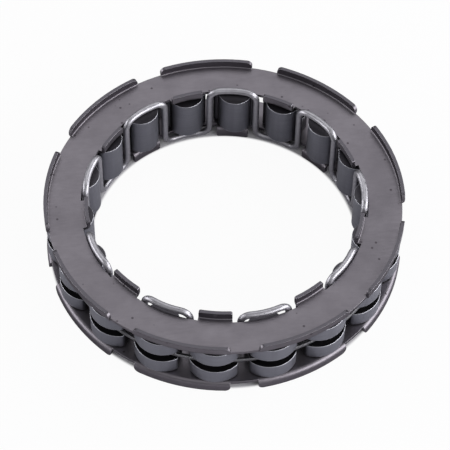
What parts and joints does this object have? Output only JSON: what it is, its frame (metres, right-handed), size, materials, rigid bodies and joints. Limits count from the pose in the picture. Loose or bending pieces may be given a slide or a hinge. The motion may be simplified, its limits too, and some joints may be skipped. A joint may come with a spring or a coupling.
{
  "type": "sprag clutch",
  "caption": "Ring-shaped one-way clutch insert: rocking sprags between two lipped end rings, held by a wave-formed wire and a garter spring, to fit between a shaft and a housing bore.",
  "frame": {"origin": "centre of the clutch, on its axis and half way between its end faces", "axes": "+Z along the clutch's axis, with +X through the middle of one sprag; seen from +Z, an inner race that turns clockwise relative to the outer race runs free and one that turns counterclockwise locks"},
  "size_m": [0.0664, 0.0665, 0.0136],
  "materials": {
    "ring_steel": "satin, pressed",
    "sprag_steel": "ground, hardened",
    "retainer_steel": "bright drawn wire",
    "spring_steel": "coiled wire"
  },
  "bodies": {
    "cage": {"end_ring_top": "ring_steel", "end_ring_bottom": "ring_steel", "retainer_wire": "retainer_steel", "garter_spring": "spring_steel"},
    "sprag_01": {"sprag_01": "sprag_steel"},
    "sprag_02": {"sprag_02": "sprag_steel"},
    "sprag_03": {"sprag_03": "sprag_steel"},
    "sprag_04": {"sprag_04": "sprag_steel"},
    "sprag_05": {"sprag_05": "sprag_steel"},
    "sprag_06": {"sprag_06": "sprag_steel"},
    "sprag_07": {"sprag_07": "sprag_steel"},
    "sprag_08": {"sprag_08": "sprag_steel"},
    "sprag_09": {"sprag_09": "sprag_steel"},
    "sprag_10": {"sprag_10": "sprag_steel"},
    "sprag_11": {"sprag_11": "sprag_steel"},
    "sprag_12": {"sprag_12": "sprag_steel"},
    "sprag_13": {"sprag_13": "sprag_steel"},
    "sprag_14": {"sprag_14": "sprag_steel"},
    "sprag_15": {"sprag_15": "sprag_steel"},
    "sprag_16": {"sprag_16": "sprag_steel"},
    "sprag_17": {"sprag_17": "sprag_steel"},
    "sprag_18": {"sprag_18": "sprag_steel"}
  },
  "joints": [
    {"name": "sprag_01_rock", "type": "hinge", "parent": "cage", "child": "sprag_01", "pos_m": [0.02748, -0.00034, 0], "axis": [0, 0, 1], "range_deg": [0, 28], "stiffness_Nm_per_rad": 0.001, "springref_deg": -28.65},
    {"name": "sprag_02_rock", "type": "hinge", "parent": "cage", "child": "sprag_02", "pos_m": [0.02594, 0.00908, 0], "axis": [0, 0, 1], "range_deg": [0, 28], "stiffness_Nm_per_rad": 0.001, "springref_deg": -28.65},
    {"name": "sprag_03_rock", "type": "hinge", "parent": "cage", "child": "sprag_03", "pos_m": [0.02127, 0.0174, 0], "axis": [0, 0, 1], "range_deg": [0, 28], "stiffness_Nm_per_rad": 0.001, "springref_deg": -28.65},
    {"name": "sprag_04_rock", "type": "hinge", "parent": "cage", "child": "sprag_04", "pos_m": [0.01403, 0.02363, 0], "axis": [0, 0, 1], "range_deg": [0, 28], "stiffness_Nm_per_rad": 0.001, "springref_deg": -28.65},
    {"name": "sprag_05_rock", "type": "hinge", "parent": "cage", "child": "sprag_05", "pos_m": [0.00511, 0.027, 0], "axis": [0, 0, 1], "range_deg": [0, 28], "stiffness_Nm_per_rad": 0.001, "springref_deg": -28.65},
    {"name": "sprag_06_rock", "type": "hinge", "parent": "cage", "child": "sprag_06", "pos_m": [-0.00444, 0.02712, 0], "axis": [0, 0, 1], "range_deg": [0, 28], "stiffness_Nm_per_rad": 0.001, "springref_deg": -28.65},
    {"name": "sprag_07_rock", "type": "hinge", "parent": "cage", "child": "sprag_07", "pos_m": [-0.01345, 0.02397, 0], "axis": [0, 0, 1], "range_deg": [0, 28], "stiffness_Nm_per_rad": 0.001, "springref_deg": -28.65},
    {"name": "sprag_08_rock", "type": "hinge", "parent": "cage", "child": "sprag_08", "pos_m": [-0.02083, 0.01792, 0], "axis": [0, 0, 1], "range_deg": [0, 28], "stiffness_Nm_per_rad": 0.001, "springref_deg": -28.65},
    {"name": "sprag_09_rock", "type": "hinge", "parent": "cage", "child": "sprag_09", "pos_m": [-0.02571, 0.00972, 0], "axis": [0, 0, 1], "range_deg": [0, 28], "stiffness_Nm_per_rad": 0.001, "springref_deg": -28.65},
    {"name": "sprag_10_rock", "type": "hinge", "parent": "cage", "child": "sprag_10", "pos_m": [-0.02748, 0.00034, 0], "axis": [0, 0, 1], "range_deg": [0, 28], "stiffness_Nm_per_rad": 0.001, "springref_deg": -28.65},
    {"name": "sprag_11_rock", "type": "hinge", "parent": "cage", "child": "sprag_11", "pos_m": [-0.02594, -0.00908, 0], "axis": [0, 0, 1], "range_deg": [0, 28], "stiffness_Nm_per_rad": 0.001, "springref_deg": -28.65},
    {"name": "sprag_12_rock", "type": "hinge", "parent": "cage", "child": "sprag_12", "pos_m": [-0.02127, -0.0174, 0], "axis": [0, 0, 1], "range_deg": [0, 28], "stiffness_Nm_per_rad": 0.001, "springref_deg": -28.65},
    {"name": "sprag_13_rock", "type": "hinge", "parent": "cage", "child": "sprag_13", "pos_m": [-0.01403, -0.02363, 0], "axis": [0, 0, 1], "range_deg": [0, 28], "stiffness_Nm_per_rad": 0.001, "springref_deg": -28.65},
    {"name": "sprag_14_rock", "type": "hinge", "parent": "cage", "child": "sprag_14", "pos_m": [-0.00511, -0.027, 0], "axis": [0, 0, 1], "range_deg": [0, 28], "stiffness_Nm_per_rad": 0.001, "springref_deg": -28.65},
    {"name": "sprag_15_rock", "type": "hinge", "parent": "cage", "child": "sprag_15", "pos_m": [0.00444, -0.02712, 0], "axis": [0, 0, 1], "range_deg": [0, 28], "stiffness_Nm_per_rad": 0.001, "springref_deg": -28.65},
    {"name": "sprag_16_rock", "type": "hinge", "parent": "cage", "child": "sprag_16", "pos_m": [0.01345, -0.02397, 0], "axis": [0, 0, 1], "range_deg": [0, 28], "stiffness_Nm_per_rad": 0.001, "springref_deg": -28.65},
    {"name": "sprag_17_rock", "type": "hinge", "parent": "cage", "child": "sprag_17", "pos_m": [0.02083, -0.01792, 0], "axis": [0, 0, 1], "range_deg": [0, 28], "stiffness_Nm_per_rad": 0.001, "springref_deg": -28.65},
    {"name": "sprag_18_rock", "type": "hinge", "parent": "cage", "child": "sprag_18", "pos_m": [0.02571, -0.00972, 0], "axis": [0, 0, 1], "range_deg": [0, 28], "stiffness_Nm_per_rad": 0.001, "springref_deg": -28.65}
  ],
  "couplings": [
    {"joint": "sprag_02_rock", "follows": "sprag_01_rock", "ratio": 1},
    {"joint": "sprag_03_rock", "follows": "sprag_01_rock", "ratio": 1},
    {"joint": "sprag_04_rock", "follows": "sprag_01_rock", "ratio": 1},
    {"joint": "sprag_05_rock", "follows": "sprag_01_rock", "ratio": 1},
    {"joint": "sprag_06_rock", "follows": "sprag_01_rock", "ratio": 1},
    {"joint": "sprag_07_rock", "follows": "sprag_01_rock", "ratio": 1},
    {"joint": "sprag_08_rock", "follows": "sprag_01_rock", "ratio": 1},
    {"joint": "sprag_09_rock", "follows": "sprag_01_rock", "ratio": 1},
    {"joint": "sprag_10_rock", "follows": "sprag_01_rock", "ratio": 1},
    {"joint": "sprag_11_rock", "follows": "sprag_01_rock", "ratio": 1},
    {"joint": "sprag_12_rock", "follows": "sprag_01_rock", "ratio": 1},
    {"joint": "sprag_13_rock", "follows": "sprag_01_rock", "ratio": 1},
    {"joint": "sprag_14_rock", "follows": "sprag_01_rock", "ratio": 1},
    {"joint": "sprag_15_rock", "follows": "sprag_01_rock", "ratio": 1},
    {"joint": "sprag_16_rock", "follows": "sprag_01_rock", "ratio": 1},
    {"joint": "sprag_17_rock", "follows": "sprag_01_rock", "ratio": 1},
    {"joint": "sprag_18_rock", "follows": "sprag_01_rock", "ratio": 1}
  ]
}
